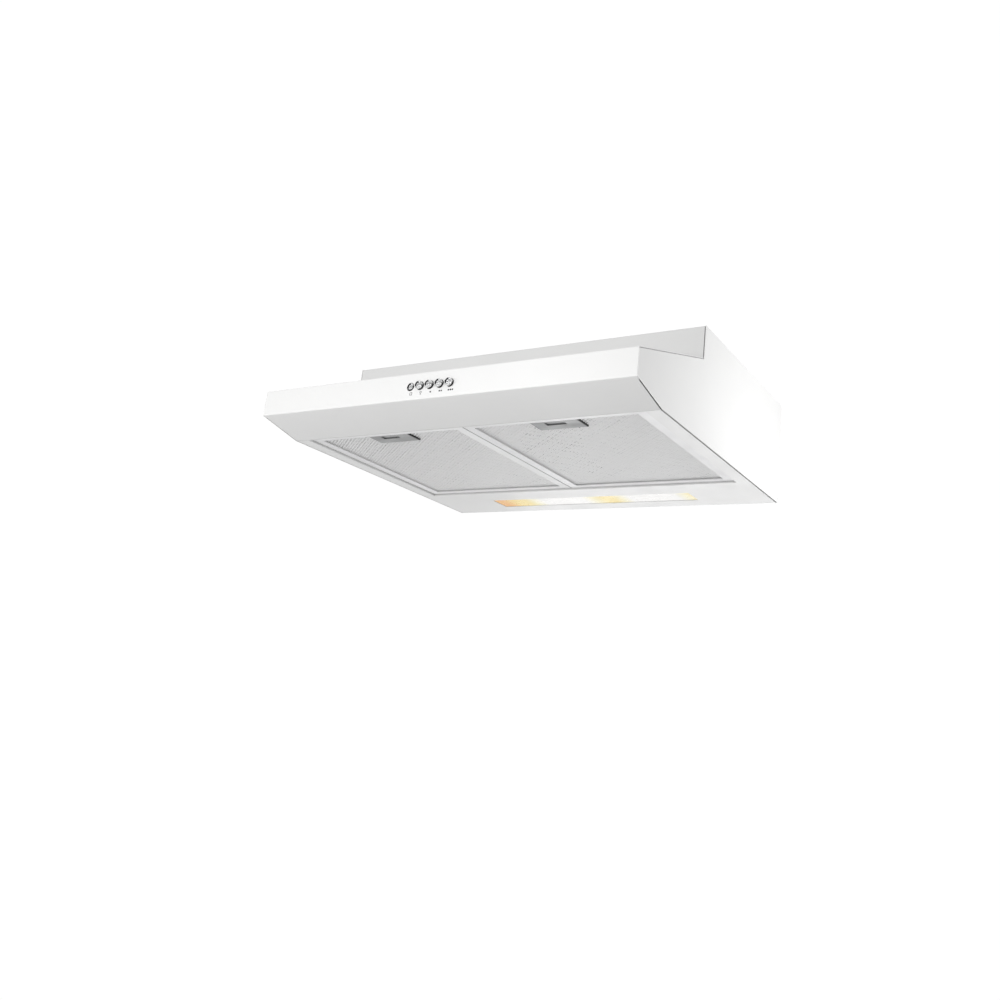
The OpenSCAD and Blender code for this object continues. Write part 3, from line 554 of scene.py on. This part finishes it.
def make_lamps(materials):
    """Candle lamps in the place of their plain solids: a glass body and a threaded cap."""
    glass = bulb_glass()
    for side, sign in (("left", -1), ("right", 1)):
        node = f"lamp_bulb_{side}"
        low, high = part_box(node)
        length = high.x - low.x
        cap_end = low.x if sign < 0 else high.x
        axis = Vector((cap_end, (low.y + high.y) / 2, (low.z + high.z) / 2))
        turn = Matrix.Rotation(math.radians(-90 * sign), 4, "Y")
        matrix = Matrix.Translation(axis) @ turn
        widest = (high.y - low.y) / 2
        profile = []
        for i in range(BULB_STEPS + 1):
            f = i / BULB_STEPS
            swell = math.sin(math.pi * min(1, f * 0.93 + 0.02) ** 0.85) ** 0.72
            taper = 1 - 0.28 * f * f
            radius = max(BULB_NECK * (1 - f) ** 2, widest * 0.985 * swell * taper)
            profile.append((max(radius, 0.25 * MM), BULB_CAP + (length - BULB_CAP) * f))
        body = revolved(f"lamp_glass_{side}", profile, glass, "root", matrix)
        thread = [(1.5 * MM, 0), (3.2 * MM, 0.2 * MM), (4.2 * MM, 1.6 * MM), (6.6 * MM, 3 * MM)]
        for i in range(THREAD_STEPS + 1):
            f = i / THREAD_STEPS
            wave = 0.45 * MM * math.cos(2 * math.pi * f * THREAD_TURNS)
            thread.append((7.25 * MM + wave, 3.2 * MM + f * (BULB_CAP - 5 * MM)))
        thread += [(7.4 * MM, BULB_CAP - 1.2 * MM), (7.0 * MM, BULB_CAP + 0.6 * MM)]
        revolved(f"lamp_cap_{side}", thread, materials["cap"], "root", matrix)
        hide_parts(node)


AMBER = (0.98, 0.49, 0.11)
GOLD = (1.0, 0.74, 0.2)
HONEY = (1.0, 0.8, 0.27)
CREAM = (1.0, 0.93, 0.6)
PALE = (1.0, 0.99, 0.97)
# Place along the cover, from its left end to its right, and the glow's colour there
LENS_GLOW = [(0.0, AMBER), (0.05, AMBER), (0.11, GOLD), (0.17, HONEY), (0.21, CREAM),
             (0.26, PALE), (0.47, PALE), (0.52, CREAM), (0.57, HONEY), (0.62, HONEY),
             (0.66, CREAM), (0.7, PALE), (0.92, PALE), (0.965, CREAM), (1.0, HONEY)]
LENS_STRENGTH = 0.44


def lens_material():
    """The lamps seen through the frosted cover: a bright blob at each lamp, amber between them."""
    mat, tree, shader = new_material("lit lamp cover")
    low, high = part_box("lamp_lens")
    half = (high.x - low.x) / 2
    shader.inputs["Emission Strength"].default_value = LENS_STRENGTH
    shader.inputs["Specular IOR Level"].default_value = 0.25
    shader.inputs["Coat Weight"].default_value = 0.03
    coordinates = add(tree, "TexCoord")
    parts = add(tree, "SeparateXYZ")
    tree.links.new(coordinates.outputs["Object"], parts.inputs["Vector"])
    along = add(tree, "MapRange", From_Min=-half, From_Max=half)
    tree.links.new(parts.outputs["X"], along.inputs["Value"])
    glow = add(tree, "ValToRGB")
    elements = glow.color_ramp.elements
    while len(elements) < len(LENS_GLOW):
        elements.new(0.5)
    for element, (position, colour) in zip(elements, LENS_GLOW):
        element.position = position
        element.color = (*colour, 1)
    tree.links.new(along.outputs["Result"], glow.inputs["Fac"])
    tree.links.new(glow.outputs["Color"], shader.inputs["Emission Color"])
    # The cover's base colour is the glow's pattern, dimmed: painted light from the lamps behind it
    body = add(tree, "Mix", data_type="RGBA", blend_type="MULTIPLY")
    body.inputs["Factor"].default_value = 1
    tree.links.new(glow.outputs["Color"], body.inputs["A"])
    tree.links.new(ramp(tree, noise(tree, 40, 4), grey(0.32), grey(0.34)), body.inputs["B"])
    tree.links.new(body.outputs["Result"], shader.inputs["Base Color"])
    tree.links.new(span(tree, noise(tree, 60, 3), 0.22, 0.34), shader.inputs["Roughness"])
    ribs = add(tree, "TexWave", Scale=140, Distortion=0.4, Detail=1)
    tree.links.new(coordinates.outputs["Object"], ribs.inputs["Vector"])
    bump(tree, shader, ribs.outputs["Fac"], 0.04, 0.0001)
    return mat


def make_lens():
    """Gives the lamp cover its lit material and rounded edges."""
    lens = NODES["lamp_lens"]
    lens.data.materials.clear()
    lens.data.materials.append(lens_material())
    round_edges(lens, 0.5)


# ----------------------------------------------------------------- symbols

INK_THICK = 0.06 * MM
SYMBOL_DROP = 9.9
SYMBOL_ASIDE = 2.1
DOT_RADIUS = 1.15
DOT_GAP = 3.1


def ring(radius, centre=(0, 0), sides=40):
    """The corners of a circle."""
    return [(centre[0] + radius * math.cos(2 * math.pi * i / sides),
             centre[1] + radius * math.sin(2 * math.pi * i / sides)) for i in range(sides)]


def symbol(name, shapes, centre, material):
    """Thin ink on the front face: each shape is a list of rings, and the first is its outline."""
    made = bmesh.new()
    for rings in shapes:
        edges = []
        for points in rings:
            corners = [made.verts.new((centre[0] + x * MM, centre[1], centre[2] + z * MM))
                       for x, z in points]
            count = len(corners)
            edges += [made.edges.new((corners[i], corners[(i + 1) % count]))
                      for i in range(count)]
        bmesh.ops.triangle_fill(made, edges=edges, use_beauty=True, normal=(0, -1, 0))
    bmesh.ops.recalc_face_normals(made, faces=made.faces)
    sheet = bmesh.ops.extrude_face_region(made, geom=made.faces[:])
    moved = [v for v in sheet["geom"] if isinstance(v, bmesh.types.BMVert)]
    bmesh.ops.translate(made, verts=moved, vec=(0, -INK_THICK, 0))
    bmesh.ops.recalc_face_normals(made, faces=made.faces)
    data = bpy.data.meshes.new(name)
    made.to_mesh(data)
    made.free()
    data.materials.append(material)
    piece = bpy.data.objects.new(name, data)
    bpy.context.scene.collection.objects.link(piece)
    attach(piece, "root")


def box_ring(half, line):
    """The outline of a square and of the hole in it."""
    inner = half - line
    return [[(-half, -half), (half, -half), (half, half), (-half, half)],
            [(-inner, -inner), (inner, -inner), (inner, inner), (-inner, inner)]]


def bulb_shapes():
    """A round lamp over a short cap."""
    return [[ring(1.75, centre=(0, 1.0)), ring(0.85, centre=(0, 1.0))],
            [[(-0.85, -2.1), (0.85, -2.1), (0.85, -0.9), (-0.85, -0.9)]],
            [[(-0.55, -2.9), (0.55, -2.9), (0.55, -2.3), (-0.55, -2.3)]]]


def make_symbols(materials):
    """Under the buttons: a square for stop, a lamp, and one to three dots for the speeds."""
    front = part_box("front_visor")[0].y
    for i in range(1, 6):
        low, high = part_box(f"button_{i}")
        centre = ((low.x + high.x) / 2 + SYMBOL_ASIDE * MM, front,
                  (low.z + high.z) / 2 - SYMBOL_DROP * MM)
        if i == 1:
            symbol("stop_symbol", [box_ring(2.1, 0.9)], centre, materials["pale_ink"])
        elif i == 2:
            symbol("lamp_symbol", bulb_shapes(), centre, materials["pale_ink"])
        else:
            count = i - 2
            dots = [[ring(DOT_RADIUS, centre=((k - (count - 1) / 2) * DOT_GAP, 0))]
                    for k in range(count)]
            symbol(f"speed_{count}_symbol", dots, centre, materials["ink"])


# ------------------------------------------------------- stage and lights

FLOOR_LEVEL = -1.6
FLOOR_REACH = 2.5
BACKDROP_WAY = (-0.513, 0.81, 0.284)
BACKDROP_STRENGTH = 1.02
WORLD_SOFT = 0.565

# Each light: name, place, target, width and height in metres, and power in watts
LIGHTS = [
    ("face_left_box", (-0.4, -0.68, -0.185), (-0.36, -0.35, -0.126), (0.7, 0.1), 0.94),
    ("face_right_box", (0.2, -0.68, -0.185), (0.16, -0.35, -0.126), (0.4, 0.1), 0.7),
    ("side_box", (0.66, 0.06, -0.15), (0.3, 0.06, -0.1), (0.2, 0.2), 1.05),
    ("under_softbox", (-0.5, 2.3, -0.95), (0, -0.1, -0.16), (2.0, 0.9), 5.6),
]


def make_floor():
    """A round pale floor, as far below the hood as a kitchen's floor."""
    mat = surface("pale floor", grey(0.78), grey(0.8), (0.6, 0.7), patch=2, grain=60)
    sides = 96
    data = bpy.data.meshes.new("floor")
    rim = [(FLOOR_REACH * math.cos(2 * math.pi * i / sides),
            FLOOR_REACH * math.sin(2 * math.pi * i / sides), FLOOR_LEVEL) for i in range(sides)]
    data.from_pydata(rim, [], [tuple(range(sides))])
    data.materials.append(mat)
    floor = bpy.data.objects.new("floor", data)
    bpy.context.scene.collection.objects.link(floor)


def area_light(name, place_at, target, size, power):
    data = bpy.data.lights.new(name, "AREA")
    data.shape = "RECTANGLE"
    data.size, data.size_y = size
    data.energy = power
    light = bpy.data.objects.new(name, data)
    bpy.context.scene.collection.objects.link(light)
    light.location = place_at
    light.visible_camera = False
    direction = Vector(target) - Vector(place_at)
    light.rotation_euler = direction.to_track_quat("-Z", "Y").to_euler()


def make_world():
    """A white backdrop behind the hood that fades to a softer light all round it."""
    world = bpy.data.worlds.new("studio")
    bpy.context.scene.world = world
    world.use_nodes = True
    tree = world.node_tree
    background = tree.nodes["Background"]
    coordinates = add(tree, "TexCoord")
    toward = vector_step(tree, "DOT_PRODUCT", coordinates.outputs["Generated"], BACKDROP_WAY)
    fade = add(tree, "MapRange", interpolation_type="SMOOTHSTEP", From_Min=0.2, From_Max=0.75,
               To_Min=WORLD_SOFT, To_Max=BACKDROP_STRENGTH)
    tree.links.new(toward.outputs["Value"], fade.inputs["Value"])
    tree.links.new(fade.outputs["Result"], background.inputs["Strength"])
    background.inputs["Color"].default_value = (1, 1, 1, 1)


# -------------------------------------------------------------------- main

make_camera()
looks = make_materials()
dress_nodes(looks)
make_filters(looks)
make_lamps(looks)
make_lens()
make_symbols(looks)
make_floor()
make_world()
for light in LIGHTS:
    area_light(*light)
bpy.context.scene.view_settings.view_transform = "Standard"
